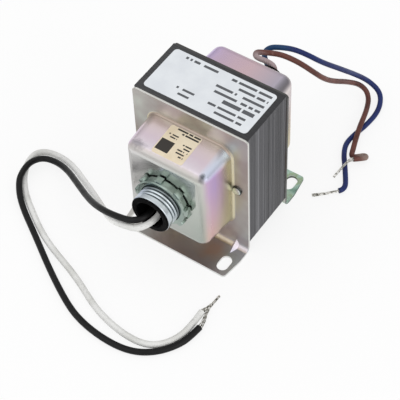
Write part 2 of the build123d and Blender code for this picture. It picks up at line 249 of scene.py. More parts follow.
# Points and thicknesses in mm, lengths in m
# fans: how far the bare wires part, at the insulation and at the tip
leads = {
    "black": {
        "thickness": 3.3,
        "length": 0.315,
        "route": [
            (29.35, -9.5, 53.5), (29.35, -9.5, 48.8), (31.2, -8.2, 43.9), (35.4, -5.6, 41.2),
            (42.2, -3.5, 40.2), (51.4, -2.6, 40.5), (56.4, -7.2, 39.4), (56.9, -17.05, 37.3),
            (55.15, -26.45, 33.7), (49.4, -38.85, 26.1), (38.25, -55.8, 15.75), (28.9, -70.15, 7.6),
            (24.9, -80.9, 3.6), (26.65, -88.55, 3.9), (33.15, -91.7, 5.25), (40.55, -90.95, 5.6),
            (46.95, -88.65, 5.15), (55.5, -80.9, 2.2), (67.9, -61.55, 1.65), (81.65, -40.95, 1.65),
            (92.5, -22.05, 1.65), (96.45, -10.7, 1.65), (98.3, 2.1, 1.65), (98, 13.4, 1.65),
            (95.3, 22.2, 1.65), (89.6, 29.55, 1.65), (82.1, 34.65, 1.65), (75.6, 36.9, 1.65),
            (68.2, 37.6, 1.65),
        ],
        "fans": (1.5, 0.0),
        "stripped": [
            (68.2, 37.6, 1.65), (66, 37.81, 1.65), (60.9, 36.04, 1.3), (57, 35.1, 1.1), (52.8, 34.9, 0.9),
            (47.5, 35.1, 0.7),
        ],
    },
    "white": {
        "thickness": 3.3,
        "length": 0.325,
        "route": [
            (29.35, -3.5, 53.5), (29.35, -3.5, 48.6), (31.4, -2.4, 43.6), (36, -0.4, 40.6), (42.6, 0.7, 39.4),
            (49.4, 1, 39), (54.5, -1, 38.3), (57.8, -4.5, 37.1), (57.65, -10.05, 35.25),
            (56.25, -20.05, 30.35), (49.5, -30.5, 24.5), (41.15, -42.1, 17.45), (30.85, -57.95, 8.7),
            (23.2, -70.6, 3.65), (19.95, -81.15, 1.85), (20.7, -90.15, 1.65), (24.65, -95.3, 1.65),
            (31.65, -95.1, 1.65), (39.65, -91.3, 1.65), (47, -85.1, 1.65), (52.8, -78.1, 1.65),
            (63.65, -61.8, 1.65), (69.4, -49.85, 1.65), (76.6, -29.75, 1.65), (85.65, -12.1, 1.65),
            (89.2, -0.9, 1.65), (91.2, 11.4, 1.65), (90.3, 22, 1.65), (85.6, 28.5, 1.65), (78.5, 32.5, 1.65),
            (70.35, 33.85, 1.65), (60.3, 33.5, 1.65),
        ],
        "fans": (1.5, 0.0),
        "stripped": [
            (60.3, 33.5, 1.65), (58.6, 33.9, 1.75), (57, 34.6, 2), (54.5, 34.95, 1.9),
        ],
    },
    "blue": {
        "thickness": 2.8,
        "length": 0.212,
        "route": [
            (-29.35, 5, 40), (-29.35, 5, 46), (-31, 5.4, 52), (-34, 5.9, 57), (-38.6, 6.5, 58.2),
            (-44, 5.6, 57.4), (-48.6, 0.8, 56.4), (-53.4, -5, 57.4), (-57.05, -3.85, 59.6), (-60, 1.4, 59.9),
            (-63.95, 6.6, 57.95), (-68.05, 12.2, 53.4), (-74.1, 17.1, 45.5), (-86.25, 21.25, 32.4),
            (-101.05, 23.85, 15.85), (-107.95, 27.5, 6.95), (-108.3, 33.45, 2.65), (-103.2, 37.4, 1.5),
            (-95, 39.75, 1.4), (-84.6, 39.2, 1.4), (-76, 37.4, 1.4), (-68.05, 36.7, 1.4), (-60.8, 39.75, 1.4),
            (-54.6, 44.2, 1.4), (-48, 48.5, 1.4), (-43.5, 51.2, 1.4), (-40.2, 51.1, 1.4), (-38.85, 49.9, 1.4),
        ],
        "fans": (0.0, 0.55),
        "stripped": [
            (-38.85, 49.9, 1.4), (-37.2, 48.44, 1.4), (-33.2, 44.4, 1.15), (-29.4, 39.9, 0.95),
        ],
    },
    "brown": {
        "thickness": 2.8,
        "length": 0.202,
        "route": [
            (-29.35, 11, 40), (-29.35, 11, 46.4), (-31.2, 10.8, 53), (-35.2, 10.4, 58.2), (-40.4, 9.8, 61.4),
            (-44.2, 7.6, 63.4), (-44.6, 3.6, 64.4), (-43.6, -1.8, 64.8), (-44.8, -4.2, 64.5),
            (-47.4, -5, 63.9), (-49.5, -3.3, 62.9), (-51.7, 0.05, 62.4), (-54.35, 4.55, 61.5),
            (-56.4, 9.6, 59.5), (-58.4, 14.6, 56.55), (-62.3, 18.65, 50.25), (-68.05, 21.5, 41.8),
            (-77.05, 22, 31.95), (-90.75, 22.8, 19.8), (-101.05, 24.55, 9.85), (-103.7, 27.95, 4.55),
            (-100.6, 31.4, 2.6), (-94.15, 34.1, 2.8), (-87.15, 36.4, 4.55), (-79.35, 38.3, 4.95),
            (-71.75, 40.3, 3), (-66.85, 41.9, 1.7), (-62.97, 43.16, 1.4), (-62.33, 44.16, 1.4),
            (-62.46, 45.34, 1.4), (-65.7, 48.5, 1.4), (-65.8, 49.8, 1.8), (-64.9, 50.7, 2.4),
            (-63.6, 50.65, 2.8), (-59.3, 46.4, 3.6),
        ],
        "fans": (1.3, 0.0),
        "stripped": [
            (-59.3, 46.4, 3.6), (-58.17, 45.29, 3.81), (-54.3, 44.5, 3.9), (-45.7, 42.9, 0.75),
        ],
    },
}

strandBundle = {
    "wires": 6,  # round one in the middle
    "wireSize": 0.42,
    "turns": 1.6,
    "tightening": 1.5,  # puts most of the turns near the tip
    "fanLength": 0.6,  # share of the bundle that it takes to close
    "wander": 0.06,
    "tin": [(0.36, tone(104, 102, 94)), (0.5, tone(196, 194, 187)), (0.62, tone(240, 239, 236))],
}


def insulationMaterial(color):
    material, tree, shader, place = startMaterial(color + "Insulation", roughness=0.38)
    shader.inputs["Specular IOR Level"].default_value = insulation["gloss"]
    inMm = inMillimetres(tree, place)[0]
    body, shade, rubbed = insulation["colors"][color]
    lengths = fade(tree, grain(tree, place, scale=110, detail=3), 0.42, 0.62, 0.8)
    plain = mixColors(tree, lengths, body, shade)
    for center, reach, tint in insulation["tintsAndPaintedLight"][color]:
        away = distanceTo(tree, inMm, center)
        near = fade(tree, away, reach, insulation["tintCore"] * reach, insulation["tintDepth"])
        plain = mixColors(tree, near, plain, tint)
    scuffs = fade(tree, grain(tree, place, scale=420, detail=4, rough=0.6), 0.6, 0.72)
    patches = spread(tree, grain(tree, place, scale=60, detail=3), 0.42, 0.62, 0.15, 0.75)
    dull = spread(tree, grain(tree, place, scale=240), 0.3, 0.7, 0.3, 0.46)
    feed(tree, shader, mixColors(tree, times(tree, scuffs, patches), plain, rubbed), dull,
         grain(tree, place, scale=900, detail=3), strength=0.12, distance=0.05 * mm)
    return material


def tinnedMaterial():
    material, tree, shader, place = startMaterial("tinnedStrands", 1.0, 0.3)
    dull = grain(tree, place, scale=700, detail=3)
    feed(tree, shader, ramp(tree, dull, strandBundle["tin"]), spread(tree, dull, 0.3, 0.7, 0.2, 0.36))
    return material


def routeCurve(name, points, resolution):
    curve = bpy.data.curves.new(name, "CURVE")
    curve.dimensions = "3D"
    spline = curve.splines.new("NURBS")
    spline.points.add(len(points) - 1)
    for point, place in zip(spline.points, points):
        point.co = (*(Vector(place) * mm), 1.0)
    spline.order_u = 3
    spline.use_endpoint_u = True
    spline.resolution_u = resolution
    return curve


def lineAlong(curve):
    carrier = bpy.data.objects.new("route", curve)
    mesh = bpy.data.meshes.new_from_object(carrier)
    line = [v.co.copy() for v in mesh.vertices]
    bpy.data.meshes.remove(mesh)
    bpy.data.objects.remove(carrier)
    return line


def twistedStrands(name, points, fans):
    route = routeCurve(name + "Route", points, 12)
    line = lineAlong(route)
    bpy.data.curves.remove(route)
    bundle = bpy.data.curves.new(name, "CURVE")
    bundle.dimensions = "3D"
    bundle.bevel_depth = strandBundle["wireSize"] / 2 * mm
    bundle.bevel_resolution = 2
    bundle.use_fill_caps = True
    wires = [bundle.splines.new("POLY") for _ in range(strandBundle["wires"] + 1)]
    for wire in wires:
        wire.points.add(len(line) - 1)
    heading = (line[1] - line[0]).normalized()
    side = heading.orthogonal().normalized()
    for i, here in enumerate(line):
        ahead = (line[min(i + 1, len(line) - 1)] - line[max(i - 1, 0)]).normalized()
        side.rotate(heading.rotation_difference(ahead))
        heading = ahead
        share = i / (len(line) - 1)
        fan = 1 + fans[0] * max(0.0, 1 - share / strandBundle["fanLength"])
        fan += fans[1] * max(0.0, 2 * share - 1)
        wires[0].points[i].co = (*here, 1.0)
        for k, wire in enumerate(wires[1:]):
            twist = strandBundle["turns"] * share ** strandBundle["tightening"]
            turn = math.tau * (k / strandBundle["wires"] + twist)
            out = Quaternion(heading, turn) @ side
            reach = strandBundle["wireSize"] * fan + random.uniform(-1, 1) * strandBundle["wander"]
            wire.points[i].co = (*(here + out * reach * mm), 1.0)
    return bundle


def addLeads():
    tinned = tinnedMaterial()
    for color, lead in leads.items():
        curve = routeCurve(color + "Lead", lead["route"], 8)
        curve.bevel_depth = lead["thickness"] / 2 * mm
        curve.bevel_resolution = 5
        curve.use_fill_caps = True
        cord = showPiece(color + "Lead", curve, insulationMaterial(color),
                         color + "_insulation", color + "_lead")
        bundle = twistedStrands(color + "Strands", lead["stripped"], lead["fans"])
        strands = showPiece(color + "Strands", bundle, tinned, "tinned_copper", color + "_strands")


addLeads()
print("leads laid")


# Core: single E and I sheets, turned end for end one after another
core = {
    "width": 63.5,
    "bottom": 6.2,
    "height": 76.2,
    "stack": 32.5,
    "sheets": 65,
    "leg": 12.7,
    "centreLeg": 25.4,
    "gap": 0.035,  # between one sheet and the next
    "jointGap": 0.03,  # between the E and the I
    "stagger": 0.07,
    "edges": [
        (0.26, tone(48, 48, 51)), (0.5, tone(84, 84, 88)), (0.66, tone(104, 104, 108)),
        (0.82, tone(166, 166, 170)),
    ],
    # painted shade: the bare edges darken towards the rear
    "rearShadedEdges": tone(40, 40, 42),
    "rearShadeDepth": 0.4,
    "varnish": [(0.3, tone(66, 66, 67)), (0.7, tone(88, 88, 90))],
    "varnishEnd": tone(34, 35, 38),  # towards the right
    "varnishFade": (-25.0, 30.0, 0.35),
}


def coreMaterial():
    material, tree, shader, place = startMaterial("coreSteel", 0.75, 0.42)
    x, y, z = inMillimetres(tree, place)[1]
    sheet = calc(tree, "FLOOR", calc(tree, "DIVIDE", x, core["stack"] / core["sheets"]))
    each = addNode(tree, "TexWhiteNoise", {"W": sheet}, noise_dimensions="1D").outputs["Value"]
    streaks = grain(tree, stretched(tree, place, (9.0, 0.5, 0.05)), scale=260, detail=3)
    packs = grain(tree, stretched(tree, place, (1.0, 0.0, 0.0)), scale=190, detail=1)
    level = calc(tree, "ADD", times(tree, each, 0.42), times(tree, streaks, 0.3))
    level = calc(tree, "ADD", level, times(tree, packs, 0.34))
    # painted shade, darker towards the rear
    shadeToRear = fade(tree, x, core["stack"] / 2, -core["stack"] / 2, core["rearShadeDepth"])
    bare = mixColors(tree, shadeToRear, ramp(tree, level, core["edges"]), core["rearShadedEdges"])
    varnish = ramp(tree, streaks, core["varnish"])
    varnish = mixColors(tree, fade(tree, y, *core["varnishFade"]), varnish, core["varnishEnd"])
    top = core["bottom"] + core["height"]
    feed(tree, shader, mixColors(tree, fade(tree, z, top - 0.6, top - 0.3), bare, varnish),
         spread(tree, level, 0.2, 0.8, 0.34, 0.52), streaks, strength=0.1, distance=0.05 * mm)
    return material


def addSheet(bm, outline, thickness, low):
    face = bm.faces.new([bm.verts.new((low, y * mm, z * mm)) for y, z in outline])
    bmesh.ops.translate(bm, verts=grownVerts(bm, [face]), vec=(thickness, 0, 0))


def addCore():
    bm = bmesh.new()
    half = core["width"] / 2
    tall = core["height"] / 2
    middle = core["bottom"] + tall
    leg = core["leg"]
    pole = core["centreLeg"] / 2
    pitch = core["stack"] / core["sheets"]
    joint = half - leg  # where the legs meet the I
    for i in range(core["sheets"]):
        flip = 1 if i % 2 else -1
        outlineE = [(-half, -tall), (joint, -tall), (joint, leg - tall), (leg - half, leg - tall),
                    (leg - half, -pole), (joint, -pole), (joint, pole), (leg - half, pole),
                    (leg - half, tall - leg), (joint, tall - leg), (joint, tall), (-half, tall)]
        inner = joint + core["jointGap"]
        outlineI = [(inner, -tall), (half, -tall), (half, tall), (inner, tall)]
        low = (-core["stack"] / 2 + i * pitch) * mm
        for outline in (outlineE, outlineI):
            dy, dz = [random.uniform(-1, 0) * core["stagger"] for _ in range(2)]
            placed = [(flip * y * (1 + dy / half), middle + z * (1 + dz / tall)) for y, z in outline]
            addSheet(bm, placed, (pitch - core["gap"]) * mm, low)
    closeUp(bm)
    showPiece("coreSheets", finishMesh("coreSheets", bm), coreMaterial(), "core_steel",
              "e_laminations", "i_laminations")


addCore()
print("core stacked")


# Covers: drawn steel with a rainbow chromate over zinc
chromate = {
    # spans in mm, out from the middle
    "wallFrom": 17.5,  # the drawn wall
    "wallTo": 39.2,
    "rootSpan": (17.4, 19.2),
    "bendSpan": (17.4, 21.0),
    "dartSpan": (17.5, 24.5),
    "lidFrom": 28.0,
    "browFrom": 34.0,
    "lidFace": 38.0,
    # across and up, in mm; a fade ends with how far the second tone takes over
    "lowFade": (58.0, 26.0),
    "highFade": (34.0, 56.0, 0.9),
    "topSpan": (-22.0, 22.0),
    "rearFade": (2.0, 18.0, 0.7),
    "lidSideFade": (16.0, -16.0, 0.8),
    "lidShadeFade": (60.0, 24.0, 0.5),
    "footSpan": (-32.0, 32.0),
    "footFade": (4.5, 2.0),
    "bendTop": 6.0,
    "bendEndFade": (24.0, 27.0),
    "dartTop": 8.0,
    "edgeTop": 1.19,
    "drift": 0.3,  # share of the wall that the bands wander
    "streaks": 0.12,
    "footDrift": 0.5,
    "wall": [
        (0.0, tone(214, 206, 182)), (0.13, tone(224, 212, 170)), (0.25, tone(210, 193, 180)),
        (0.4, tone(198, 168, 192)), (0.6, tone(190, 162, 206)), (0.8, tone(201, 172, 205)),
        (0.92, tone(206, 197, 193)), (1.0, tone(198, 200, 194)),
    ],
    "lowWall": [
        (0.0, tone(214, 206, 178)), (0.13, tone(224, 213, 172)), (0.42, tone(206, 186, 170)),
        (0.7, tone(215, 176, 172)), (0.9, tone(206, 196, 181)), (1.0, tone(200, 200, 188)),
    ],
    "rearWall": [
        (0.0, tone(198, 197, 194)), (0.35, tone(194, 190, 160)), (0.7, tone(196, 191, 154)),
        (1.0, tone(226, 190, 174)),
    ],
    "rearHigh": tone(226, 216, 218),
    "top": [
        (0.0, tone(206, 190, 178)), (0.25, tone(221, 205, 204)), (0.6, tone(216, 200, 210)),
        (0.85, tone(224, 215, 223)), (1.0, tone(190, 180, 174)),
    ],
    "rearTop": [
        (0.0, tone(202, 183, 224)), (0.2, tone(201, 178, 198)), (0.5, tone(210, 183, 190)),
        (0.75, tone(212, 187, 192)),
    ],
    # painted shade over the right of the rear cover's top
    "rearShade": tone(166, 169, 186),
    "rootTop": tone(172, 157, 146),
    # painted highlight on the front cover's top right edges, painted shade on the rear's
    "corner": tone(212, 226, 244),
    "rearCornerShade": tone(104, 104, 108),
    # painted shade on the rounded front top edge
    "browShade": tone(176, 163, 160),
    "browDepth": 0.3,
    "lid": [(0.3, tone(190, 197, 189)), (0.7, tone(206, 208, 202))],
    # painted light: the lid is paler towards the left, and painted shade darkens it towards the bottom
    "lidLitSide": tone(219, 216, 216),
    "lidShade": tone(140, 146, 140),
    "flange": [(0.3, tone(206, 209, 201)), (0.5, tone(182, 176, 172)), (0.7, tone(174, 160, 144))],
    "frontFoot": [
        (0.0, tone(192, 190, 186)), (0.1, tone(148, 147, 145)), (0.3, tone(158, 154, 152)),
        (0.5, tone(198, 193, 196)), (0.7, tone(196, 194, 204)), (0.95, tone(186, 192, 204)),
    ],
    "footBlush": tone(206, 164, 150),
    "blushAt": (25.5, 17.0, 1.2),
    "blushReach": 9.0,
    "rearFoot": [
        (0.3, tone(126, 154, 142)), (0.44, tone(150, 186, 170)), (0.54, tone(180, 206, 192)),
        (0.62, tone(160, 184, 146)), (0.72, tone(188, 192, 192)),
    ],
    # painted highlight along the bend of the front foot, paler towards its right end
    "bend": tone(226, 214, 188),
    "bendEnd": tone(238, 230, 233),
    "bendDepth": 0.85,
    # painted highlight on the facets of the darts
    "dart": tone(234, 226, 236),
    # painted highlight on the cut edges of the front cover, painted shade on those of the rear
    "cutEdgeHighlight": tone(226, 226, 222),
    "rearCutEdgeShade": tone(40, 42, 44),
    "cutDepth": 0.85,
    "darkReflection": tone(66, 70, 74),
    "darkReflections": [  # painted dark reflections on the front top edge and its right corner, their stretch, reach and depth
        ((36.6, 20.1, 69.8), (1.0, 1.3, 0.45), 2.3, 0.9),
        ((36.6, -16.2, 70.6), (1.0, 0.6, 1.0), 3.2, 0.55),
    ],
    "roundDull": 0.14,  # added to the roughness of the rounded edges
    "footDull": 0.08,
    "lidShine": 0.07,  # taken from that of the lid
}


def chromateMaterial():
    material, tree, shader, place = startMaterial("rainbowChromate", 1.0, 0.2)
    inMm, (x, y, z) = inMillimetres(tree, place)
    facing = addNode(tree, "NewGeometry").outputs["Normal"]
    faceX, faceY, faceZ = addNode(tree, "SeparateXYZ", {"Vector": facing}).outputs
    outward = calc(tree, "ABSOLUTE", faceX)
    sideways = calc(tree, "ABSOLUTE", faceY)
    upward = fade(tree, faceZ, 0.35, 0.85)
    out = calc(tree, "ABSOLUTE", x)
    rear = calc(tree, "LESS_THAN", x, 0.0)
    patches = grain(tree, stretched(tree, inMm, (1, 1, 1), (40, 10, 20)), scale=0.05)
    streaks = grain(tree, stretched(tree, inMm, (0.6, 0.6, 0.02)), scale=1.0)
    wander = calc(tree, "ADD", sway(tree, grain(tree, inMm, scale=0.035), chromate["drift"]),
                  sway(tree, streaks, chromate["streaks"]))
    bands = calc(tree, "ADD", fade(tree, out, chromate["wallFrom"], chromate["wallTo"]), wander)

    # walls and top of the box
    walls = mixColors(tree, fade(tree, z, *chromate["lowFade"]), ramp(tree, bands, chromate["wall"]),
                      ramp(tree, bands, chromate["lowWall"]))
    rearWalls = mixColors(tree, fade(tree, z, *chromate["highFade"]), ramp(tree, bands, chromate["rearWall"]),
                          chromate["rearHigh"])
    along = calc(tree, "ADD", fade(tree, y, *chromate["topSpan"]), wander)
    tops = mixColors(tree, rear, ramp(tree, bands, chromate["top"]), ramp(tree, along, chromate["rearTop"]))
    color = mixColors(tree, upward, mixColors(tree, rear, walls, rearWalls), tops)
    # painted shade on the right of the rear cover's top
    shaded = times(tree, rear, fade(tree, y, *chromate["rearFade"]), upward)
    color = mixColors(tree, shaded, color, chromate["rearShade"])

    # lid with painted light to the left and painted shade low down, corners with a painted highlight in front
    # and painted shade behind, root, and brow with painted shade
    # painted light towards the left of the lid and painted shade towards its bottom
    lid = mixColors(tree, fade(tree, y, *chromate["lidSideFade"]), ramp(tree, patches, chromate["lid"]),
                    chromate["lidLitSide"])
    lid = mixColors(tree, fade(tree, z, *chromate["lidShadeFade"]), lid, chromate["lidShade"])
    onLid = times(tree, fade(tree, outward, 0.45, 0.9), calc(tree, "GREATER_THAN", out, chromate["lidFrom"]))
    color = mixColors(tree, onLid, color, lid)
    # painted highlight on the top right edges of the front cover, painted shade on the rear's
    shoulder = times(tree, calc(tree, "MAXIMUM", faceZ, 0.0), sideways, calc(tree, "GREATER_THAN", y, 0.0))
    color = mixColors(tree, fade(tree, shoulder, 0.15, 0.5, 0.75), color,
                      mixColors(tree, rear, chromate["corner"], chromate["rearCornerShade"]))
    root = times(tree, within(tree, out, *chromate["rootSpan"]), fade(tree, outward, 0.05, 0.25))
    color = mixColors(tree, times(tree, root, fade(tree, faceZ, 0.15, 0.5)), color, chromate["rootTop"])
    # painted shade on the rounded front top edge
    browShade = times(tree, within(tree, faceZ, 0.3, 0.85), calc(tree, "GREATER_THAN", out, chromate["browFrom"]),
                 fade(tree, outward, 0.4, 0.6, chromate["browDepth"]))
    color = mixColors(tree, browShade, color, chromate["browShade"])

    # flange, foot, and the bend and darts with painted highlights
    onFlange = calc(tree, "LESS_THAN", out, chromate["wallFrom"])
    color = mixColors(tree, onFlange, color, ramp(tree, patches, chromate["flange"]))
    across = calc(tree, "ADD", fade(tree, y, *chromate["footSpan"]),
                  sway(tree, patches, chromate["footDrift"]))
    reach = chromate["blushReach"]
    away = calc(tree, "ADD", distanceTo(tree, inMm, chromate["blushAt"]),
                sway(tree, grain(tree, inMm, scale=0.15, detail=3), reach))
    frontFoot = mixColors(tree, fade(tree, away, reach, 0.2 * reach, 0.6),
                          ramp(tree, across, chromate["frontFoot"]), chromate["footBlush"])
    rearFoot = ramp(tree, grain(tree, inMm, scale=0.13, detail=3), chromate["rearFoot"])
    color = mixColors(tree, fade(tree, z, *chromate["footFade"]), color,
                      mixColors(tree, rear, frontFoot, rearFoot))
    # painted highlight along the bend of the front foot
    bend = times(tree, within(tree, outward, 0.2, 0.92), calc(tree, "LESS_THAN", z, chromate["bendTop"]),
                 within(tree, out, *chromate["bendSpan"]), calc(tree, "SUBTRACT", 1.0, rear))
    bendColor = mixColors(tree, fade(tree, y, *chromate["bendEndFade"]), chromate["bend"],
                          chromate["bendEnd"])
    color = mixColors(tree, times(tree, bend, chromate["bendDepth"]), color, bendColor)
    # painted highlight on the facets of the darts
    dart = times(tree, within(tree, sideways, 0.3, 0.95), calc(tree, "LESS_THAN", z, chromate["dartTop"]),
                 within(tree, out, *chromate["dartSpan"]), spread(tree, patches, 0.35, 0.65, 0.9, 0.6))
    color = mixColors(tree, dart, color, chromate["dart"])

    # cut edges with a painted highlight in front and painted shade behind, and painted dark reflections on
    # the front top edge
    flangeEdge = times(tree, onFlange, calc(tree, "LESS_THAN", outward, 0.3))
    footEdge = times(tree, calc(tree, "LESS_THAN", z, chromate["edgeTop"]),
                     calc(tree, "LESS_THAN", calc(tree, "ABSOLUTE", faceZ), 0.3))
    # painted highlight on the front cover's cut edges, painted shade on the rear's
    cut = times(tree, calc(tree, "MAXIMUM", flangeEdge, footEdge), chromate["cutDepth"])
    color = mixColors(tree, cut, color, mixColors(tree, rear, chromate["cutEdgeHighlight"], chromate["rearCutEdgeShade"]))
    # painted dark reflections on the front top edge and its right corner
    for center, stretch, reach, depth in chromate["darkReflections"]:
        ragged = calc(tree, "ADD", distanceTo(tree, inMm, center, stretch), sway(tree, streaks, reach))
        color = mixColors(tree, fade(tree, ragged, reach, 0.35 * reach, depth), color, chromate["darkReflection"])

    dull = calc(tree, "ADD", spread(tree, patches, 0.3, 0.7, 0.24, 0.32),
                fade(tree, z, 6.0, 2.0, chromate["footDull"]))
    rounded = times(tree, fade(tree, outward, 0.2, 0.4), fade(tree, outward, 0.95, 0.7))
    dull = calc(tree, "ADD", dull, times(tree, calc(tree, "MAXIMUM", rounded, root), chromate["roundDull"]))
    flat = times(tree, calc(tree, "GREATER_THAN", out, chromate["lidFace"]),
                 fade(tree, outward, 0.95, 1.0, chromate["lidShine"]))
    feed(tree, shader, color, calc(tree, "SUBTRACT", dull, flat))
    return material


def dressNode(material, *nodes):
    for node in nodes:
        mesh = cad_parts[node].data
        mesh.materials.clear()
        mesh.materials.append(material)


dressNode(chromateMaterial(), "front_cover", "rear_cover")
print("covers plated")


# Hub: a threaded conduit nipple with a lugged locknut
hub = {
    "axis": (0.0, 0.0, 44.3 * mm),
    "crest": 10.65,
    "threadDepth": 1.0,
    "threadPoints": 8,
    "threadFullness": 0.7,
    "pitch": 1.814,
    "threadFrom": 42.8,  # inside the nut
    "landFrom": 48.75,  # plain from here to the mouth
    "mouth": 51.5,
    "chamfer": 0.3,
    "seat": 50.8,  # where the liner's lip rests
    "bore": 8.5,
    "shoulder": [(35.8, 8.5), (35.8, 13.0), (38.0, 13.0), (38.0, 10.65), (42.79, 10.65), (42.79, 8.5)],
    "steps": 72,
    "plate": [(0.32, tone(182, 192, 198)), (0.68, tone(216, 223, 227))],
    "leftTint": tone(168, 178, 204),
    "coolFade": (-2.0, -10.0, 0.6),  # bluer towards the left
    # painted shade in the thread roots and beside the nut
    "threadShade": tone(58, 68, 68),
    "grooveFade": (10.35, 9.9, 0.8),  # by radius
    "nutFade": (45.2, 44.8, 0.7),
}

locknut = {
    "back": 39.2,
    "front": 43.6,
    "bore": 10.7,
    "lead": 0.4,  # chamfer where the thread starts
    "body": 13.4,
    "seat": 11.6,  # it stands on this ring, with a gap round it
    "gap": 0.6,
    "lugs": 8,
    "lugReach": 14.9,
    "lugSteps": 4,
    "lugStart": 3,  # steps before the top
    "steps": 96,
    "edge": 0.5,
    "soften": 0.1,
    "plate": [(0.32, tone(124, 140, 134)), (0.68, tone(162, 175, 167))],
}


def fromAxis(tree, across, z):
    up = calc(tree, "SUBTRACT", z, hub["axis"][2] / mm)
    return calc(tree, "SQRT", calc(tree, "ADD", times(tree, across, across), times(tree, up, up)))


def nutMaterial():
    material, tree, shader, place = startMaterial("nutZinc", 1.0, 0.18)
    feed(tree, shader, ramp(tree, grain(tree, place, scale=90, detail=3), locknut["plate"]),
         spread(tree, grain(tree, place, scale=260), 0.3, 0.7, 0.13, 0.24))
    return material


def hubMaterial():
    material, tree, shader, place = startMaterial("brightZinc", 1.0, 0.2)
    inMm, (x, y, z) = inMillimetres(tree, place)
    plate = ramp(tree, grain(tree, inMm, scale=0.09, detail=3), hub["plate"])
    plate = mixColors(tree, fade(tree, y, *hub["coolFade"]), plate, hub["leftTint"])
    # painted shade in the thread roots and next to the nut
    threadShade = calc(tree, "MAXIMUM", fade(tree, fromAxis(tree, y, z), *hub["grooveFade"]),
                 fade(tree, x, *hub["nutFade"]))
    feed(tree, shader, mixColors(tree, threadShade, plate, hub["threadShade"]),
         spread(tree, grain(tree, inMm, scale=0.26), 0.3, 0.7, 0.16, 0.26))
    return material


def addHub():
    bm = bmesh.new()
    pitch = hub["pitch"]
    root = hub["crest"] - hub["threadDepth"]
    start = hub["threadFrom"] - 2 * pitch
    turns = math.ceil((hub["mouth"] - start) / pitch) + 1
    shares = [i / hub["threadPoints"] for i in range(hub["threadPoints"])]
    shape = [(at, root + hub["threadDepth"] * math.sin(math.pi * at) ** hub["threadFullness"])
             for at in shares]
    chain = [bm.verts.new(((start + (n + at) * pitch) * mm, 0, hub["axis"][2] + r * mm))
             for n in range(turns) for at, r in shape]
    links = [bm.edges.new(pair) for pair in zip(chain, chain[1:])]
    bmesh.ops.spin(bm, geom=chain + links, cent=hub["axis"], axis=(1, 0, 0), angle=math.tau,
                   dvec=(pitch / hub["steps"] * mm, 0, 0), steps=hub["steps"])
    bmesh.ops.remove_doubles(bm, verts=bm.verts, dist=0.01 * mm)
    rims = []
    for at, toward in ((hub["threadFrom"], -1), (hub["mouth"], 1)):
        cut = bmesh.ops.bisect_plane(bm, geom=bm.verts[:] + bm.edges[:] + bm.faces[:], dist=0.001 * mm,
                                     plane_co=(at * mm, 0, 0), plane_no=(toward, 0, 0), clear_outer=True)
        rims.append([e for e in cut["geom_cut"] if isinstance(e, bmesh.types.BMEdge)])
    for v in bm.verts:  # the land fills the grooves at the mouth, and a small chamfer ends it
        out = Vector((0, v.co.y, v.co.z - hub["axis"][2]))
        room = (hub["crest"] - max(0.0, v.co.x / mm - hub["mouth"] + hub["chamfer"])) * mm
        if out.length > room or v.co.x > hub["landFrom"] * mm:
            v.co -= out * (1 - room / out.length)
    rings = [rims[1]]
    for at in (hub["seat"], hub["threadFrom"]):
        place = Matrix.Translation((at * mm, 0, hub["axis"][2])) @ Matrix.Rotation(math.radians(90), 4, "Y")
        ring = bmesh.ops.create_circle(bm, segments=hub["steps"], radius=hub["bore"] * mm, matrix=place)
        rings.append(list({e for v in ring["verts"] for e in v.link_edges}))
    rings.append(rims[0])
    for one, other in zip(rings, rings[1:]):
        bmesh.ops.bridge_loops(bm, edges=one + other)
    spinChain(bm, hub["shoulder"], hub["axis"], hub["steps"], True)
    closeUp(bm)
    showPiece("hubThread", finishMesh("hubThread", bm, 50), hubMaterial(), "bright_zinc", "hub_nipple")


def addLocknut():
    bm = bmesh.new()
    back, front, edge = locknut["back"], locknut["front"], locknut["edge"]
    profile = [(back, locknut["bore"]), (back, locknut["seat"]), (back + locknut["gap"], locknut["seat"]),
               (back + locknut["gap"], locknut["body"]), (front - edge, locknut["body"]),
               (front, locknut["body"] - edge), (front, locknut["bore"] + locknut["lead"]),
               (front - locknut["lead"], locknut["bore"])]
    spinChain(bm, profile, hub["axis"], locknut["steps"], True)
    closeUp(bm)
    every = locknut["steps"] // locknut["lugs"]
    rim = []
    for face in bm.faces:
        out = face.calc_center_median() - Vector(hub["axis"])
        step = int(math.atan2(out.y, out.z) % math.tau / math.tau * locknut["steps"]) + locknut["lugStart"]
        onRim = abs(face.normal.x) < 0.1 and out.yz.length > (locknut["body"] - 0.2) * mm
        if onRim and step % every < locknut["lugSteps"]:
            rim.append(face)
    grown = grownVerts(bm, rim)
    grow = locknut["lugReach"] / locknut["body"]
    bmesh.ops.delete(bm, geom=rim, context="FACES_ONLY")
    bmesh.ops.scale(bm, vec=(1, grow, grow), space=Matrix.Translation(-Vector(hub["axis"])), verts=grown)
    closeUp(bm)
    bmesh.ops.bevel(bm, geom=sharpEdges(bm, 40), offset=locknut["soften"] * mm, segments=2, profile=0.5,
                    affect="EDGES", material=-1)
    showPiece("lugNut", finishMesh("lugNut", bm), nutMaterial(), "nut_zinc", "hub_locknut")


addHub()
addLocknut()
print("hub threaded")


# Rivets, bushings and the parts inside the covers
rivet = {
    "sides": (-26.15, 26.15),
    "half": [  # mm from the middle, and radius: shank, neck and clinched head
        (0.0, 1.6), (17.45, 1.6), (17.45, 2.0), (17.8, 2.0), (17.8, 2.5), (17.95, 2.62), (18.15, 2.6),
        (18.32, 2.35), (18.42, 1.5), (18.46, 0.0),
    ],
    "steps": 32,
    "plate": [(0.32, tone(196, 206, 202)), (0.68, tone(232, 238, 235))],
    # painted shade round the edge of the head
    "rim": tone(34, 38, 37),
    "rimShadeFade": (2.0, 2.3, 0.9),  # by radius
}

